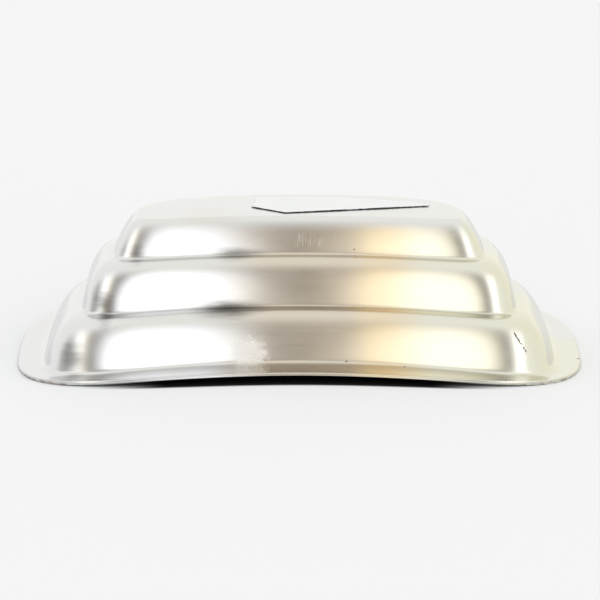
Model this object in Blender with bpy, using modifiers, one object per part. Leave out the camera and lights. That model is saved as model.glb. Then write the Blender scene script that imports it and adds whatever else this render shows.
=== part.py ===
"""A stepped stainless-steel kidney dish, stood upside down on its rim, with a thin blank label on its base.

Metres, +Z up. X runs along the dish, the hollow side of the kidney faces -Y, and the floor is z = 0.
"""

import math

import bmesh
import bpy

# ---- Driving dimensions, metres ----
RIM_LENGTH = 0.254          # over the hemmed rim, end to end
FRONT_REACH = 0.0786        # hollow side of the rim from the long axis, before the bend
BACK_REACH = 0.0812         # round side of the rim from the long axis, before the bend
DISH_HEIGHT = 0.060         # floor to base, with the dish upside down
CORNER_POWER = 3.4          # superellipse power: 2 is an ellipse, more makes broader ends
FRONT_SQUARING = 190.0      # how fast the hollow side's corners tighten with the inset
FRONT_POWER = 7.6           # the tightest they become
FRONT_SLOPE = 1.227         # the hollow side leans in this much further than the ends and back
KIDNEY_BEND = 0.0274        # how far the bend brings the rim's ends forward of its middle
SHEET = 0.0007              # thickness of the pressed sheet
HEM_THICKNESS = 0.0018      # the edge folded under itself
HEM_WIDTH = 0.0042          # how far the fold reaches back under the flange
FLANGE_WIDTH = 0.0072       # flat part of the flange
FRONT_LIFT = 0.0030         # the hollow side springs clear of the floor at its middle
FRONT_LIFT_REACH = 0.112    # half the length of that bow

# Each tier of the side wall, from the rim up: inset and height of its foot, then of its crest.
FOOT_INSET, FOOT_HEIGHT = 0.0128, 0.0042
FILLET_LEAN = 0.0006        # the fillet's corner lies this far outside the foot
LOWER_CREST = (0.0292, 0.0240)
MIDDLE_CREST = (0.0430, 0.0446)
BASE_INSET = 0.0540
BASE_BORDER = 0.0045        # the strip of flat base next to its rounded edge
LOWER_DRAFT = 0.0046        # how far the wall leans in before its shoulder
MIDDLE_DRAFT = 0.0020
UPPER_DRAFT = 0.0048
SHOULDER_FULLNESS = 0.90    # a round shoulder is about 0.7, a square one is more
UPPER_FULLNESS = 0.58
FILLET_FULLNESS = 0.85

# The blank label: a thin film with a blunt near corner, lying on the base.
LABEL_THICKNESS = 0.0002
LABEL_GAP = 0.0003          # touching meshes keep this much clear of each other
LABEL_CORNERS = (
    (-0.0220, 0.0043),
    (-0.0064, -0.0070),
    (0.0600, 0.0060),
    (0.0580, 0.0118),
    (0.0200, 0.0230),
    (-0.0200, 0.0235),
)
LABEL_CORNER_RADIUS = 0.0015

# ---- Mesh fineness ----
POINTS_ROUND = 104
SHOULDER_STEPS = 6
FILLET_STEPS = 3
HEM_STEPS = 4


def clear_scene():
    for old in list(bpy.data.objects):
        bpy.data.objects.remove(old, do_unlink=True)


def collection(name):
    made = bpy.data.collections.new(name)
    bpy.context.scene.collection.children.link(made)
    return made


def material(name, colour, roughness, metallic):
    made = bpy.data.materials.new(name)
    made.use_nodes = True
    shader = made.node_tree.nodes["Principled BSDF"]
    shader.inputs["Base Color"].default_value = (*colour, 1.0)
    shader.inputs["Roughness"].default_value = roughness
    shader.inputs["Metallic"].default_value = metallic
    return made


def bend_at(x):
    """How far the kidney's bend moves a point towards -Y."""
    return KIDNEY_BEND * (2.0 * x / RIM_LENGTH) ** 2


def front_lift(x, side, height):
    """How far the hollow side stands up off the floor: most at the rim's middle, none at the base."""
    along = max(1.0 - (x / FRONT_LIFT_REACH) ** 2, 0.0)
    front = max(-side, 0.0) ** 2
    return FRONT_LIFT * along * front * max(1.0 - height / DISH_HEIGHT, 0.0)


def kidney_point(turn, inset):
    """One point of a level line: a superellipse bent into a kidney, with tighter corners on its hollow side."""
    along, across = math.cos(turn), math.sin(turn)
    hollow = across < 0.0
    power = min(CORNER_POWER + FRONT_SQUARING * inset, FRONT_POWER) if hollow else CORNER_POWER
    half_width = FRONT_REACH - FRONT_SLOPE * inset if hollow else BACK_REACH - inset
    spread = (abs(along) ** power + abs(across) ** power) ** (1.0 / power)
    side = across / spread
    x = (RIM_LENGTH / 2.0 - inset) * along / spread
    return x, half_width * side - bend_at(x), side


def rim_centre():
    """Middle of the bent rim across its width, which becomes y = 0."""
    across = [kidney_point(math.radians(degree), 0.0)[1] for degree in range(360)]
    return (min(across) + max(across)) / 2.0


def conic(start, corner, end, fullness, steps):
    """Points after start on a rounded corner: a rational quadratic curve pulled towards corner."""
    points = []
    for step in range(1, steps + 1):
        t = step / steps
        weights = ((1 - t) ** 2, 2 * fullness * t * (1 - t), t ** 2)
        whole = sum(weights)
        points.append(tuple(
            sum(w * p[axis] for w, p in zip(weights, (start, corner, end))) / whole for axis in (0, 1)
        ))
    return points


def dish_profile():
    """The outer surface in section as (inset, height), from under the hem to the edge of the base."""
    bead = HEM_THICKNESS / 2.0
    profile = [(HEM_WIDTH, 0.0)]
    for step in range(HEM_STEPS + 1):
        turn = math.pi * step / HEM_STEPS
        profile.append((bead * (1.0 - math.sin(turn)), bead * (1.0 - math.cos(turn))))
    flat_end = (FLANGE_WIDTH, HEM_THICKNESS)
    foot = (FOOT_INSET, FOOT_HEIGHT)
    profile.append(flat_end)
    profile += conic(flat_end, (FOOT_INSET - FILLET_LEAN, HEM_THICKNESS), foot, FILLET_FULLNESS, FILLET_STEPS)
    tiers = (
        (LOWER_CREST, LOWER_DRAFT, SHOULDER_FULLNESS),
        (MIDDLE_CREST, MIDDLE_DRAFT, SHOULDER_FULLNESS),
        ((BASE_INSET, DISH_HEIGHT), UPPER_DRAFT, UPPER_FULLNESS),
    )
    for crest, draft, fullness in tiers:
        corner = (foot[0] + draft, crest[1])
        profile += conic(foot, corner, crest, fullness, SHOULDER_STEPS)
        foot = crest
    profile.append((BASE_INSET + BASE_BORDER, DISH_HEIGHT))
    return profile


def add_ring(mesh, points):
    verts = [mesh.verts.new(point) for point in points]
    return [mesh.edges.new((verts[i - 1], verts[i])) for i in range(len(verts))]


def finish_mesh(mesh, name, group, finish):
    bmesh.ops.recalc_face_normals(mesh, faces=mesh.faces)
    data = bpy.data.meshes.new(name)
    mesh.to_mesh(data)
    mesh.free()
    data.shade_smooth()
    data.set_sharp_from_angle(angle=math.radians(40.0))
    data.materials.append(finish)
    made = bpy.data.objects.new(name, data)
    group.objects.link(made)
    return made


def place_ring(verts, turn_layer, centre, inset, height):
    for vert in verts:
        x, y, side = kidney_point(vert[turn_layer], inset)
        vert.co = (x, y - centre, height + front_lift(x, side, height))


def dish(group):
    """The pressed bowl: the rim's outline pulled up through every level line, then given its thickness."""
    mesh = bmesh.new()
    turn_layer = mesh.verts.layers.float.new("turn")
    ring = bmesh.ops.create_circle(mesh, cap_ends=False, radius=1.0, segments=POINTS_ROUND)["verts"]
    for vert in ring:
        vert[turn_layer] = math.atan2(vert.co.y, vert.co.x)
    centre = rim_centre()
    profile = dish_profile()
    place_ring(ring, turn_layer, centre, *profile[0])
    edges = list(mesh.edges)
    for inset, height in profile[1:]:
        pulled = bmesh.ops.extrude_edge_only(mesh, edges=edges)["geom"]
        edges = [part for part in pulled if isinstance(part, bmesh.types.BMEdge)]
        moved = [part for part in pulled if isinstance(part, bmesh.types.BMVert)]
        place_ring(moved, turn_layer, centre, inset, height)
    bmesh.ops.contextual_create(mesh, geom=edges)
    steel = material("satin_steel", (0.80, 0.79, 0.76), 0.28, 1.0)
    made = finish_mesh(mesh, "dish", group, steel)
    wall = made.modifiers.new("sheet", "SOLIDIFY")
    wall.thickness = SHEET
    wall.offset = -1.0
    wall.use_even_offset = True
    return made


def rounded_outline(corners, radius, steps=3):
    """A closed outline whose corners are arcs, as blends between the two sides that meet there."""
    outline = []
    for i, corner in enumerate(corners):
        before, after = corners[i - 1], corners[(i + 1) % len(corners)]
        ends = []
        for other in (before, after):
            reach = math.dist(corner, other)
            ends.append(tuple(c + (o - c) * radius / reach for c, o in zip(corner, other)))
        outline += [ends[0]] + conic(ends[0], corner, ends[1], 0.7, steps)
    return outline


def base_label(group):
    """The blank film on the base, a flat outline pulled up to its thickness."""
    mesh = bmesh.new()
    floor = DISH_HEIGHT + LABEL_GAP
    outline = rounded_outline(LABEL_CORNERS, LABEL_CORNER_RADIUS)
    edges = add_ring(mesh, [(x, y, floor) for x, y in outline])
    bottom = bmesh.ops.contextual_create(mesh, geom=edges)["faces"]
    pulled = bmesh.ops.extrude_face_region(mesh, geom=bottom)["geom"]
    moved = [part for part in pulled if isinstance(part, bmesh.types.BMVert)]
    bmesh.ops.translate(mesh, verts=moved, vec=(0.0, 0.0, LABEL_THICKNESS))
    film = material("label_film", (0.86, 0.88, 0.89), 0.35, 0.0)
    return finish_mesh(mesh, "base_label", group, film)


def main():
    clear_scene()
    parts = collection("kidney_dish")
    dish(parts)
    base_label(parts)


main()
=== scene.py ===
# %% [markdown]
# # A stepped steel kidney dish, upside down on its rim
# The dish is one pressed sheet with a hemmed edge, and a thin blank film is stuck on its base. The packed
# model fixes the sizes. Here both pieces get the surface that a camera sees: a fine mesh, satin steel with
# its scratches and stains and painted reflections of the room, and the film with a dark near edge that is
# partly dirt and partly painted shadow.

# %% Load the frame
import math

import bmesh
import bpy
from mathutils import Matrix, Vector, noise


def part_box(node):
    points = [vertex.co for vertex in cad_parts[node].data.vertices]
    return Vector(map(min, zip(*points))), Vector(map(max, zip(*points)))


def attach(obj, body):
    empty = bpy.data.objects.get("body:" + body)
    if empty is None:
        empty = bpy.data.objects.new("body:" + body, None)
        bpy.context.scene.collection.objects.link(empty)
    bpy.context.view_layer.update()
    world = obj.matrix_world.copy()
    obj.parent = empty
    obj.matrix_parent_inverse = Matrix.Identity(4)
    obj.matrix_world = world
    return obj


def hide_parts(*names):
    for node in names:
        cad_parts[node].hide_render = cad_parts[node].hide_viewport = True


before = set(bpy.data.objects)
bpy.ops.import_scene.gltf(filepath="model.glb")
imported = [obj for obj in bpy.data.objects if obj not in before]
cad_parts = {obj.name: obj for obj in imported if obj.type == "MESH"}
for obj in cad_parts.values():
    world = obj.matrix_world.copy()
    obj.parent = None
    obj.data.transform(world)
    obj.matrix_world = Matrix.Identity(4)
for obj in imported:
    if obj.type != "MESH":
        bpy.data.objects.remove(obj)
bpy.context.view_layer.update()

dish_low, dish_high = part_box("dish")
label_low, label_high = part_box("base_label")
RIM_LENGTH = dish_high.x - dish_low.x
DISH_HEIGHT = dish_high.z
print("dish", [round(size * 1000, 1) for size in dish_high - dish_low], "mm")

# %% [markdown]
# ## The camera
# A long lens from the front, a little above the dish, looking slightly down. It is placed first, because
# every later choice is judged through it.

# %% Camera
CAMERA_DISTANCE = 1.6202
CAMERA_HEIGHT = 0.4645
CAMERA_PITCH = math.radians(15.44)
CAMERA_LENS = 218.5
SENSOR = 36.0

camera_data = bpy.data.cameras.new("camera")
camera_data.lens = CAMERA_LENS
camera_data.sensor_width = SENSOR
camera_data.clip_end = 20.0
camera = bpy.data.objects.new("camera", camera_data)
bpy.context.scene.collection.objects.link(camera)
camera.location = (0.0004, -CAMERA_DISTANCE, CAMERA_HEIGHT)
camera.rotation_euler = (math.pi / 2 - CAMERA_PITCH, 0.0, 0.0)
bpy.context.scene.camera = camera
print("camera elevation", round(math.degrees(math.atan2(CAMERA_HEIGHT, CAMERA_DISTANCE)), 1), "degrees")

# %% [markdown]
# ## The kidney outline
# Every level line of the dish is the same kind of curve: a superellipse, which is an ellipse with broader
# ends, bent so that both ends come forward. An inset makes it smaller, so one function draws the rim, each
# ledge and the base. The hollow side leans in further and turns tighter corners than the round side.

# %% Kidney outline
FRONT_REACH = 0.0786
BACK_REACH = 0.0812
CORNER_POWER = 3.4
FRONT_SQUARING = 190.0
FRONT_POWER = 7.6
FRONT_SLOPE = 1.227
KIDNEY_BEND = 0.0274
FRONT_LIFT = 0.0030
FRONT_LIFT_REACH = 0.112


def kidney_point(turn, inset):
    """x, y and side of one point of a level line, before it is centred."""
    c, s = math.cos(turn), math.sin(turn)
    hollow = s < 0.0
    power = min(CORNER_POWER + FRONT_SQUARING * inset, FRONT_POWER) if hollow else CORNER_POWER
    half_width = FRONT_REACH - FRONT_SLOPE * inset if hollow else BACK_REACH - inset
    spread = (abs(c) ** power + abs(s) ** power) ** (1.0 / power)
    x = (RIM_LENGTH / 2 - inset) * c / spread
    side = s / spread
    return x, half_width * side - KIDNEY_BEND * (2 * x / RIM_LENGTH) ** 2, side


def rim_centre():
    across = [kidney_point(math.radians(degree), 0.0)[1] for degree in range(360)]
    return (min(across) + max(across)) / 2


def front_lift(x, side, height):
    """How far the hollow side stands clear of the floor."""
    along = max(1.0 - (x / FRONT_LIFT_REACH) ** 2, 0.0)
    return FRONT_LIFT * along * max(-side, 0.0) ** 2 * max(1.0 - height / DISH_HEIGHT, 0.0)


CENTRE = rim_centre()
print("outline centred by", round(CENTRE * 1000, 2), "mm")

# %% [markdown]
# ## The section of the sheet
# Cut through the wall and the sheet shows as one line: under the hem, round its edge, along the flange, up a
# fillet, then three bulging tiers to the base. Each tier is one rounded corner, and so is each crease
# between two tiers, so a single curve function makes them all.

# %% Section
HEM_THICKNESS = 0.0018
HEM_WIDTH = 0.0042
FLANGE_WIDTH = 0.0072
FOOT = (0.0128, 0.0042)
LOWER_CREST = (0.0292, 0.0240)
MIDDLE_CREST = (0.0430, 0.0446)
BASE_EDGE = (0.0540, DISH_HEIGHT)
CREASE = 0.0014


def conic(start, corner, end, fullness, steps):
    """Points after start on a rounded corner. A fullness of 0.7 is nearly round, and more is squarer."""
    points = []
    for step in range(1, steps + 1):
        t = step / steps
        weights = ((1 - t) ** 2, 2 * fullness * t * (1 - t), t ** 2)
        points.append(tuple(
            sum(w * p[axis] for w, p in zip(weights, (start, corner, end))) / sum(weights) for axis in (0, 1)
        ))
    return points


def tier(foot, crest, draft, fullness, steps=16):
    return conic(foot, (foot[0] + draft, crest[1]), crest, fullness, steps)


def towards(crest, other, reach):
    share = reach / math.dist(crest, other)
    return tuple(c + (o - c) * share for c, o in zip(crest, other))


def crease(before, crest, after, steps=4):
    """The small hollow corner where one tier's ledge meets the wall above it."""
    start, end = towards(crest, before, CREASE), towards(crest, after, CREASE)
    return [start] + conic(start, crest, end, 0.75, steps)


def section():
    bead = HEM_THICKNESS / 2
    line = [(HEM_WIDTH, 0.0)]
    for step in range(9):
        turn = math.pi * step / 8
        line.append((bead * (1 - math.sin(turn)), bead * (1 - math.cos(turn))))
    line += [(FLANGE_WIDTH * share, HEM_THICKNESS) for share in (0.4, 0.7, 1.0)]
    line += conic(line[-1], (FOOT[0] - 0.0006, HEM_THICKNESS), FOOT, 0.85, 7)
    lower = tier(FOOT, LOWER_CREST, 0.0046, 0.90)
    middle = tier(LOWER_CREST, MIDDLE_CREST, 0.0020, 0.90)
    upper = tier(MIDDLE_CREST, BASE_EDGE, 0.0048, 0.58)
    line += lower[:-2] + crease(lower[-3], LOWER_CREST, middle[1])
    line += middle[2:-2] + crease(middle[-3], MIDDLE_CREST, upper[1])
    line += upper[2:]
    line += [(BASE_EDGE[0] + 0.0015 * step, DISH_HEIGHT) for step in range(1, 6)]
    return line


profile = section()
print("section of", len(profile), "points")

# %% [markdown]
# ## The pressed dish
# A circle is pulled onto the rim's outline, then its edge loop is extruded once for every point of the
# section. Each vertex remembers its own turn round the circle, so a new loop finds its place by itself. A
# pressed sheet is never quite true, so every point also wanders by a few hundredths of a millimetre: too
# little to see as shape, but enough to make the reflections waver. The sheet gets its thickness from a
# Solidify modifier, inwards, so the outside keeps its size.

# %% Pressed dish
POINTS_ROUND = 288
SHEET = 0.0007
WAVER = 0.00010
WAVER_SCALE = 34.0


def place_ring(verts, turn_layer, inset, height):
    for vert in verts:
        x, y, side = kidney_point(vert[turn_layer], inset)
        true = Vector((x, y - CENTRE, height + front_lift(x, side, height)))
        wander = noise.noise(true * WAVER_SCALE) * WAVER * min(height / 0.01, 1.0)
        vert.co = true + Vector((0.25, 0.9, 0.35)) * wander


def finish_piece(mesh, name):
    bmesh.ops.remove_doubles(mesh, verts=mesh.verts, dist=1e-6)
    bmesh.ops.recalc_face_normals(mesh, faces=mesh.faces)
    data = bpy.data.meshes.new(name)
    mesh.to_mesh(data)
    mesh.free()
    data.shade_smooth()
    piece = bpy.data.objects.new(name, data)
    bpy.context.scene.collection.objects.link(piece)
    return piece


def press_dish():
    mesh = bmesh.new()
    turn_layer = mesh.verts.layers.float.new("turn")
    ring = bmesh.ops.create_circle(mesh, cap_ends=False, radius=1.0, segments=POINTS_ROUND)["verts"]
    for vert in ring:
        vert[turn_layer] = math.atan2(vert.co.y, vert.co.x)
    edges = list(mesh.edges)
    place_ring(ring, turn_layer, *profile[0])
    for inset, height in profile[1:]:
        pulled = bmesh.ops.extrude_edge_only(mesh, edges=edges)["geom"]
        edges = [part for part in pulled if isinstance(part, bmesh.types.BMEdge)]
        moved = [part for part in pulled if isinstance(part, bmesh.types.BMVert)]
        place_ring(moved, turn_layer, inset, height)
    bmesh.ops.contextual_create(mesh, geom=edges)
    return finish_piece(mesh, "pressed_dish")


dish = press_dish()
wall = dish.modifiers.new("sheet", "SOLIDIFY")
wall.thickness = SHEET
wall.offset = -1.0
wall.use_even_offset = True
print("dish faces", len(dish.data.polygons))

# %% [markdown]
# ## A shader helper
# Finishes are easier to read as sums than as node lists. One small class wraps a socket, so that `1 - mask`
# or `mask * 0.3` adds the Math nodes by itself. Everything else comes from one method that takes a node's
# type, its settings and its inputs.

# %% Shader helper
class Socket:
    """An output socket that understands + - * / and their reflected forms."""

    def __init__(self, tree, socket):
        self.tree, self.socket = tree, socket

    def math(self, operation, first, second=None):
        return self.tree.node("ShaderNodeMath", {"operation": operation}, {0: first, 1: second})[0]

    def __add__(self, other):
        return self.math("ADD", self, other)

    def __sub__(self, other):
        return self.math("SUBTRACT", self, other)

    def __mul__(self, other):
        return self.math("MULTIPLY", self, other)

    def __truediv__(self, other):
        return self.math("DIVIDE", self, other)

    def __rsub__(self, other):
        return self.math("SUBTRACT", other, self)

    __radd__ = __add__
    __rmul__ = __mul__

    def smaller(self, other):
        return self.math("MINIMUM", self, other)

    def larger(self, other):
        return self.math("MAXIMUM", self, other)

    def size(self):
        return self.math("ABSOLUTE", self)

    def power(self, exponent):
        return self.math("POWER", self, exponent)

    def step(self, low, high):
        """0 below low, 1 above high, and a smooth ramp between. High may be the smaller one."""
        if low > high:
            return 1 - self.step(high, low)
        settings = {"interpolation_type": "SMOOTHSTEP"}
        return self.tree.node("ShaderNodeMapRange", settings, {"Value": self, 1: low, 2: high})[0]


class Nodes:
    """A node tree with one generic way to add a node."""

    def __init__(self, owner):
        owner.use_nodes = True
        self.tree = owner.node_tree

    def node(self, kind, settings=None, inputs=None):
        made = self.tree.nodes.new(kind)
        for name, value in (settings or {}).items():
            if name == "stops":
                while len(made.color_ramp.elements) < len(value):
                    made.color_ramp.elements.new(1.0)
                for stop, (place, colour) in zip(made.color_ramp.elements, value):
                    stop.position, stop.color = place, (*colour, 1.0)
            elif name == "blend":
                made.color_ramp.interpolation = value
            else:
                setattr(made, name, value)
        for name, value in (inputs or {}).items():
            if isinstance(value, Socket):
                self.tree.links.new(value.socket, made.inputs[name])
            elif value is not None:
                made.inputs[name].default_value = value
        return [Socket(self, output) for output in made.outputs if output.enabled]

    def mix(self, share, first, second):
        """A colour between first and second."""
        colours = [value if isinstance(value, Socket) else (*value, 1.0) for value in (first, second)]
        return self.node("ShaderNodeMix", {"data_type": "RGBA"}, {0: share, 6: colours[0], 7: colours[1]})[0]

    def noise(self, place, scale, detail=2.0, roughness=0.5):
        return self.node("ShaderNodeTexNoise", None, {
            "Vector": place, "Scale": scale, "Detail": detail, "Roughness": roughness})[0]

    def stretched(self, place, scale):
        return self.node("ShaderNodeMapping", None, {"Vector": place, "Scale": scale})[0]

    def vector(self, operation, first, second, scale=None):
        inputs = {0: first, 1: second} if scale is None else {0: first, "Scale": scale}
        return self.node("ShaderNodeVectorMath", {"operation": operation}, inputs)[0]

    def parts(self, place):
        return self.node("ShaderNodeSeparateXYZ", None, {"Vector": place})

    def place(self, name="Object"):
        """Where a point is, in metres, or for the world, the direction looked in."""
        coordinates = self.node("ShaderNodeTexCoord")
        return next(output for output in coordinates if output.socket.name == name)

    def link(self, value, node, name):
        self.tree.links.new(value.socket, node.inputs[name])


def new_finish(name):
    finish = bpy.data.materials.new(name)
    nodes = Nodes(finish)
    return finish, nodes, nodes.tree.nodes["Principled BSDF"]


print("shader helper ready")

# %% [markdown]
# ## Satin steel
# The dish is old polished stainless steel, with a faint tarnish in clouds. Its front has a painted
# reflection of the room in its colour, running from brown through gold to straw, and painted dark
# reflections above the creases on the left. Fine brush lines run along the dish. On top of them come a
# cloudy frosted water stain on the lower tier, short upright scratches on the upper tier, one long broken
# scratch, a few dark nicks, and brown dirt caught in the hem.

# %% Satin steel
STEEL = (0.665, 0.670, 0.675)
TARNISH = (0.61, 0.59, 0.55)
# The next colour is a painted dark reflection above the creases on the left.
PAINTED_DARK_REFLECTION = (0.045, 0.04, 0.035)
FROST = (0.78, 0.78, 0.77)
HEM_DIRT = (0.16, 0.115, 0.075)
NICK = (0.10, 0.085, 0.07)
POLISH = 0.20
STAIN_AT = (-0.0222, -0.0618, 0.0090)
STAIN_RADIUS = 0.0088
NICKS = (
    ((0.0877, -0.0481, 0.0321), 0.0008),
    ((0.1011, -0.0656, 0.0118), 0.0008),
    ((0.1260, -0.0440, 0.0018), 0.0010),
    ((0.1096, -0.0674, 0.0022), 0.0007),
    ((0.0251, -0.0240, 0.0474), 0.0006),
    ((0.0469, -0.0672, 0.0049), 0.0006),
    ((0.0211, -0.0629, 0.0059), 0.0006),
)
# Painted reflection of the room on the front: brown, then gold, then straw along x, each between two places.
PAINTED_REFLECTION_TINTS = (
    ((-0.045, -0.010), (0.60, 0.55, 0.475)),
    ((0.018, 0.034), (0.70, 0.61, 0.455)),
    ((0.038, 0.062), (0.675, 0.670, 0.595)),
)
# Painted dark reflections above the creases: place in x and z, width and height, and strength.
PAINTED_DARK_REFLECTION_SPOTS = (
    ((-0.0320, 0.0256), (0.0210, 0.0042), 0.80),
    ((-0.0290, 0.0462), (0.0160, 0.0030), 0.60),
    ((-0.0735, 0.0478), (0.0050, 0.0050), 0.45),
    ((-0.0868, 0.0282), (0.0055, 0.0085), 0.70),
    ((-0.1000, 0.0095), (0.0070, 0.0100), 0.62),
)
SCRATCH_START, SCRATCH_END = Vector((0.0954, 0.0, 0.0198)), Vector((0.1011, 0.0, 0.0118))


def brush_lines(nodes, place):
    """Fine lines along the dish and round its ends, from noise squeezed in height."""
    fine = nodes.noise(nodes.stretched(place, (60.0, 60.0, 2600.0)), 1.0, 3.0, 0.6)
    coarse = nodes.noise(nodes.stretched(place, (25.0, 25.0, 700.0)), 1.0, 2.0)
    return fine * 0.6 + coarse * 0.4


def stain_mask(nodes, place):
    """A cloudy patch with a ragged edge."""
    ragged = nodes.noise(place, 420.0, 5.0, 0.65)
    reach = nodes.vector("DISTANCE", place, STAIN_AT) / STAIN_RADIUS + (ragged - 0.5) * 1.3
    grain = nodes.noise(place, 900.0, 3.0, 0.7)
    return reach.step(1.05, 0.55) * (0.35 + grain.step(0.34, 0.60) * 0.65)


def upright_scratches(nodes, place):
    """Short upright hairlines on the middle of the upper tier."""
    x, _, z = nodes.parts(place)
    lines = nodes.noise(nodes.stretched(place, (3200.0, 30.0, 110.0)), 1.0, 2.0, 0.5)
    zone = (x - 0.0085).size().step(0.016, 0.008) * (z - 0.0510).size().step(0.0034, 0.0020)
    return lines.step(0.60, 0.70) * zone


def nick_mask(nodes, place):
    """Dark nicks, and one long scratch: a thin band between two points, seen square to the front."""
    along = (SCRATCH_END - SCRATCH_START).normalized()
    offset = nodes.vector("MULTIPLY", nodes.vector("SUBTRACT", place, SCRATCH_START), (1.0, 0.0, 1.0))
    run = nodes.vector("DOT_PRODUCT", offset, along)
    run = run.larger(0.0).smaller((SCRATCH_END - SCRATCH_START).length)
    nearest = nodes.vector("SCALE", along, None, run)
    reach = nodes.vector("DISTANCE", offset, nearest)
    broken = nodes.noise(place, 700.0, 2.0).step(0.43, 0.50)
    y = nodes.parts(place)[1]
    mask = reach.step(0.00045, 0.00022) * broken * y.step(-0.05, -0.055)
    for point, radius in NICKS:
        mask = mask.larger(nodes.vector("DISTANCE", place, point).step(radius, radius * 0.5))
    return mask


def painted_dark_reflection_mask(nodes, place):
    """Painted dark reflections above the creases, as soft ovals on the front."""
    ragged = (nodes.noise(nodes.stretched(place, (70.0, 70.0, 420.0)), 1.0, 4.0, 0.6) - 0.5) * 0.7
    mask = 0.0
    for (x, z), (width, height), depth in PAINTED_DARK_REFLECTION_SPOTS:
        scale = Vector((1 / width, 0.0, 1 / height))
        reach = nodes.vector("DISTANCE", nodes.stretched(place, scale), Vector((x, 0.0, z)) * scale) + ragged
        mask = (reach.step(1.0, 0.0) * depth).larger(mask)
    return mask * nodes.parts(place)[1].step(-0.008, -0.018)


def painted_reflection_tint(nodes, place, colour):
    """Painted reflection of the room on the front, from the middle to the right: each colour takes over
    between two places along x.
    """
    x, y, z = nodes.parts(place)
    drift = x + (nodes.noise(place, 30.0, 2.0) - 0.5) * 0.010
    tint = colour
    for (start, end), reflected_tint in PAINTED_REFLECTION_TINTS:
        tint = nodes.mix(drift.step(start, end), tint, reflected_tint)
    return nodes.mix(y.step(-0.006, -0.022) * z.step(0.0595, 0.0540), colour, tint)


def make_steel():
    finish, nodes, shader = new_finish("satin_steel")
    place = nodes.place()
    z = nodes.parts(place)[2]
    lines = brush_lines(nodes, place)
    clouds = nodes.noise(place, 22.0, 3.0, 0.55)
    smears = nodes.noise(nodes.stretched(place, (30.0, 30.0, 75.0)), 1.0, 4.0, 0.6)
    stain = stain_mask(nodes, place)
    uprights = upright_scratches(nodes, place)
    nicks = nick_mask(nodes, place)
    hem_noise = nodes.noise(nodes.stretched(place, (240.0, 240.0, 700.0)), 1.0, 4.0, 0.65)
    hem_line = z.step(0.0016, 0.0006) * hem_noise.step(0.40, 0.62)
    pepper = nodes.noise(place, 1500.0, 2.0, 0.5).step(0.735, 0.76)
    dark_reflections = painted_dark_reflection_mask(nodes, place)

    # The next two lines paint reflections of the room into the colour: the tints along the front, then the
    # dark spots above the creases.
    colour = painted_reflection_tint(nodes, place, nodes.mix(clouds.step(0.45, 0.75) * 0.4, STEEL, TARNISH))
    colour = nodes.mix(dark_reflections, colour, PAINTED_DARK_REFLECTION)
    colour = nodes.mix(stain * 0.45, colour, FROST)
    colour = nodes.mix(uprights * 0.22, colour, FROST)
    colour = nodes.mix(hem_line * 0.85, colour, HEM_DIRT)
    colour = nodes.mix(pepper * 0.5, colour, NICK)
    colour = nodes.mix(nicks * 0.95, colour, NICK)
    nodes.link(colour, shader, "Base Color")

    polish = POLISH + (smears - 0.5) * 0.10 + (lines - 0.5) * 0.07 + stain * 0.22 + uprights * 0.08
    nodes.link(polish + nicks * 0.3, shader, "Roughness")
    nodes.link(1 - (nicks.larger(hem_line) * 0.8).larger(stain * 0.25), shader, "Metallic")

    relief = lines * 0.35 + stain * 0.5 + uprights * 0.2 - nicks * 1.5
    bump = nodes.node("ShaderNodeBump", None, {"Strength": 0.22, "Distance": 0.00004, "Height": relief})[0]
    nodes.link(bump, shader, "Normal")
    return finish


dish.data.materials.append(make_steel())
print("steel nodes", len(dish.data.materials[0].node_tree.nodes))

# %% [markdown]
# ## The blank film
# A thin clear-white film lies on the base, cut with a blunt corner towards the hollow side. A small grid is
# cut along each straight side with bisect_plane, so its inner squares stay even and can waver a little, and
# Solidify gives it a body. A fine broken dark line along the near edge is partly dirt and partly painted
# shadow under the edge.

# %% Blank film
FILM_CORNERS = (
    (-0.0220, 0.0043),
    (-0.0064, -0.0070),
    (0.0600, 0.0060),
    (0.0580, 0.0118),
    (0.0200, 0.0230),
    (-0.0200, 0.0235),
)
FILM_THICKNESS = 0.0001
FILM_WAVER = 0.00012
FILM_CELLS = 60


def side_line(index):
    """A corner, and the outward direction square to the side that starts there."""
    start = Vector(FILM_CORNERS[index])
    run = Vector(FILM_CORNERS[(index + 1) % len(FILM_CORNERS)]) - start
    return start, Vector((run.y, -run.x)).normalized()


def cut_film():
    mesh = bmesh.new()
    half = (label_high - label_low) / 2
    middle = (label_high + label_low) / 2
    bmesh.ops.create_grid(mesh, x_segments=FILM_CELLS, y_segments=FILM_CELLS // 2, size=1.0)
    bmesh.ops.scale(mesh, verts=mesh.verts, vec=(half.x * 1.1, half.y * 1.1, 1.0))
    bmesh.ops.translate(mesh, verts=mesh.verts, vec=(middle.x, middle.y, label_high.z))
    for index in range(len(FILM_CORNERS)):
        start, outward = side_line(index)
        bmesh.ops.bisect_plane(
            mesh, geom=mesh.verts[:] + mesh.edges[:] + mesh.faces[:], dist=1e-7, clear_outer=True,
            plane_co=(start.x, start.y, 0.0), plane_no=(outward.x, outward.y, 0.0))
    for vert in mesh.verts:
        vert.co.z -= FILM_WAVER * (0.5 + noise.noise(vert.co * 90.0))
    return finish_piece(mesh, "blank_film")


film = cut_film()
body = film.modifiers.new("body", "SOLIDIFY")
body.thickness = FILM_THICKNESS
body.offset = -1.0
print("film faces", len(film.data.polygons))

# %% Film finish
FILM_WHITE = (0.73, 0.75, 0.78)
FILM_GREY = (0.70, 0.725, 0.76)
# The dark line along the two near sides is partly dirt and partly painted shadow under the film's edge.
EDGE_DIRT_AND_SHADOW = (0.018, 0.017, 0.020)
DIRTY_AND_SHADOWED_SIDES = (0, 1)


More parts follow.
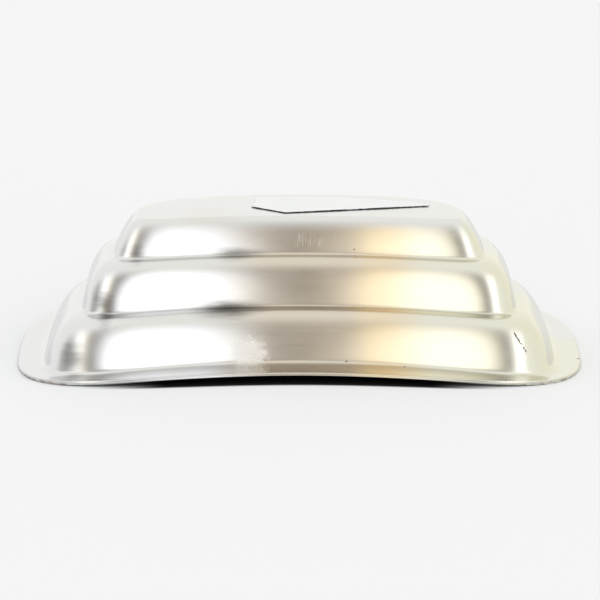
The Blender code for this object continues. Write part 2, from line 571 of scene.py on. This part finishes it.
def make_film():
    finish, nodes, shader = new_finish("label_film")
    place = nodes.place()
    x, y, _ = nodes.parts(place)
    broken = nodes.noise(place, 700.0, 3.0, 0.6)
    edges = []
    for index in DIRTY_AND_SHADOWED_SIDES:
        start, outward = side_line(index)
        depth = (start.x - x) * outward.x + (start.y - y) * outward.y
        edges.append(depth.step(0.00045, 0.00018))
    # Dirt and painted shadow along the near sides, broken up by noise.
    dirt_and_shadow = edges[0].larger(edges[1]) * broken.step(0.38, 0.46)
    colour = nodes.mix(nodes.noise(place, 60.0, 3.0).step(0.3, 0.7), FILM_WHITE, FILM_GREY)
    nodes.link(nodes.mix(dirt_and_shadow, colour, EDGE_DIRT_AND_SHADOW), shader, "Base Color")
    nodes.link(0.34 + nodes.noise(place, 250.0, 2.0) * 0.16 + dirt_and_shadow * 0.3, shader, "Roughness")
    bump = nodes.node("ShaderNodeBump", None, {
        "Strength": 0.25, "Distance": 0.0001, "Height": nodes.noise(place, 160.0, 3.0)})[0]
    nodes.link(bump, shader, "Normal")
    return finish


film.data.materials.append(make_film())
print("film nodes", len(film.data.materials[0].node_tree.nodes))

# %% [markdown]
# ## The floor
# A plain pale paper floor, much larger than the view. It is staging and not part of the dish. A little grain
# keeps it from being a flat colour. Hardly any light should get under the bowed front of the rim. The soft
# room leaves too much there, so the paper is painted dark along the line of the rim.

# %% Floor
PAPER = (0.775, 0.79, 0.83)
PAPER_DARK = (0.765, 0.78, 0.82)
UNDER_RIM = (0.006, 0.005, 0.005)
SHADE_FRONT = (-0.0042, -0.0014)
SHADE_BACK = (0.060, 0.030)
SHADE_ENDS = (0.098, 0.058)


def make_paper():
    finish, nodes, shader = new_finish("paper")
    place = nodes.place()
    x, y, _ = nodes.parts(place)
    along = (x.size() * (2 / RIM_LENGTH)).smaller(0.999)
    half_width = (1 - along.power(CORNER_POWER)).power(1 / CORNER_POWER) * FRONT_REACH
    behind_rim = y + half_width + CENTRE + along * along * KIDNEY_BEND
    shade = behind_rim.step(*SHADE_FRONT) * behind_rim.step(*SHADE_BACK) * x.size().step(*SHADE_ENDS)
    paper = nodes.mix(nodes.noise(place, 500.0, 3.0), PAPER, PAPER_DARK)
    nodes.link(nodes.mix(shade, paper, UNDER_RIM), shader, "Base Color")
    shader.inputs["Roughness"].default_value = 0.85
    shader.inputs["Specular IOR Level"].default_value = 0.2
    return finish


floor_mesh = bmesh.new()
bmesh.ops.create_grid(floor_mesh, x_segments=1, y_segments=1, size=4.0)
floor = finish_piece(floor_mesh, "floor")
floor.data.materials.append(make_paper())
print("floor laid")

# %% [markdown]
# ## Soft studio light
# Polished steel looks like the room around it. The room is a white studio with large bright panels at both
# sides, and a dim gap in front, where the camera stands. The world draws it from the direction alone:
# across the room the colour follows how far a direction points to the right. The front fades softly into the
# white backdrop overhead, so the ledges and the base still reflect that backdrop.

# %% Studio room
ACROSS_FRONT = (
    (-1.00, (1.08, 1.08, 1.06)),
    (-0.88, (0.66, 0.65, 0.64)),
    (-0.64, (0.58, 0.57, 0.56)),
    (-0.46, (1.05, 1.05, 1.02)),
    (-0.34, (1.75, 1.75, 1.70)),
    (-0.22, (1.90, 1.86, 1.74)),
    (-0.15, (1.60, 1.50, 1.30)),
    (-0.09, (0.75, 0.68, 0.58)),
    (-0.04, (0.40, 0.37, 0.33)),
    (0.05, (0.38, 0.36, 0.34)),
    (0.10, (0.80, 0.79, 0.78)),
    (0.16, (2.00, 2.00, 2.02)),
    (0.35, (1.95, 1.96, 2.00)),
    (0.46, (1.20, 1.19, 1.12)),
    (1.00, (1.12, 1.11, 1.02)),
)
BACKDROP_LEFT = (1.16, 1.15, 1.13)
BACKDROP_RIGHT = (1.15, 1.13, 0.98)
RAMP_TOP = 2.02
FRONT_FADE = (-0.50, 0.24)


def make_studio():
    world = bpy.data.worlds.new("studio")
    bpy.context.scene.world = world
    nodes = Nodes(world)
    across, deep, _ = nodes.parts(nodes.place("Generated"))
    stops = [((place + 1) / 2, tuple(part / RAMP_TOP for part in colour)) for place, colour in ACROSS_FRONT]
    rightness = across * 0.5 + 0.5
    ramp = nodes.node("ShaderNodeValToRGB", {"blend": "EASE", "stops": stops}, {"Fac": rightness})[0]
    front = nodes.vector("SCALE", ramp, None, RAMP_TOP)
    behind = nodes.mix(rightness.step(0.4, 0.75), BACKDROP_LEFT, BACKDROP_RIGHT)
    room = nodes.mix(deep.step(*FRONT_FADE), front, behind)
    nodes.link(room, nodes.tree.nodes["Background"], "Color")


make_studio()
bpy.context.scene.view_settings.view_transform = "Standard"
print("studio lit")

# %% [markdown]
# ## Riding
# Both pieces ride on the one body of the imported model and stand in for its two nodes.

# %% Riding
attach(dish, "root")
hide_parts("dish")
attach(film, "root")
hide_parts("base_label")
